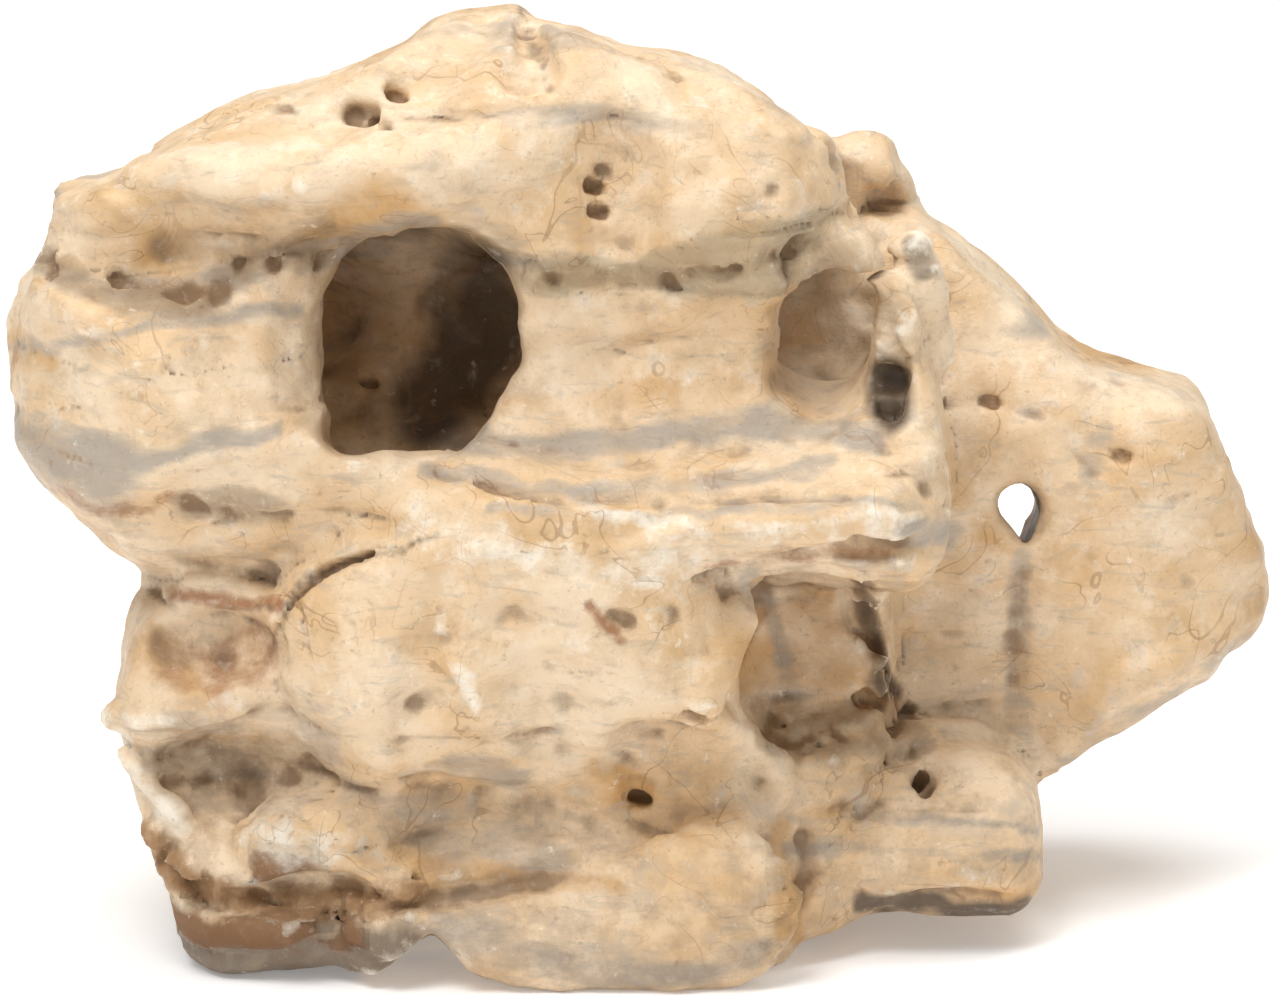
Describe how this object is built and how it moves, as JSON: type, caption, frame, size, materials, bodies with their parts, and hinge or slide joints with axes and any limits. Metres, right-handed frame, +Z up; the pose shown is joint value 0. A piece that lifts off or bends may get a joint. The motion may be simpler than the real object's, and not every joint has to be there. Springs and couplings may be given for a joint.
{
  "type": "cave ornament",
  "caption": "Rockwork cave ornament for an aquarium or pond: stacked filled-resin stones with a swim-through chamber, side tunnel and window. Stands on a flat base.",
  "frame": {"origin": "centre of the bounding box's footprint, on the plane that the ornament rests on", "axes": "+X to the right seen from the front, +Y to the rear, +Z up; the cave's mouth opens towards -Y"},
  "size_m": [0.254, 0.132, 0.189],
  "materials": {
    "cast_stone": "satin",
    "cast_stone_dark": "matte",
    "joint_compound_grey": "matte",
    "joint_compound_brown": "matte"
  },
  "bodies": {
    "root": {"cheek_stone": "cast_stone", "cheek_cap": "cast_stone", "shelf_stone": "cast_stone", "web_stone": "cast_stone", "roof_boulder": "cast_stone", "lower_boulder": "cast_stone", "bowl_stone": "cast_stone", "left_foot": "cast_stone_dark", "right_ledge": "cast_stone", "rear_slab": "cast_stone", "rear_buttress": "cast_stone", "roof_joint_putty": "joint_compound_grey", "cheek_joint_putty": "joint_compound_grey", "foot_joint_putty": "joint_compound_brown"}
  },
  "joints": []
}
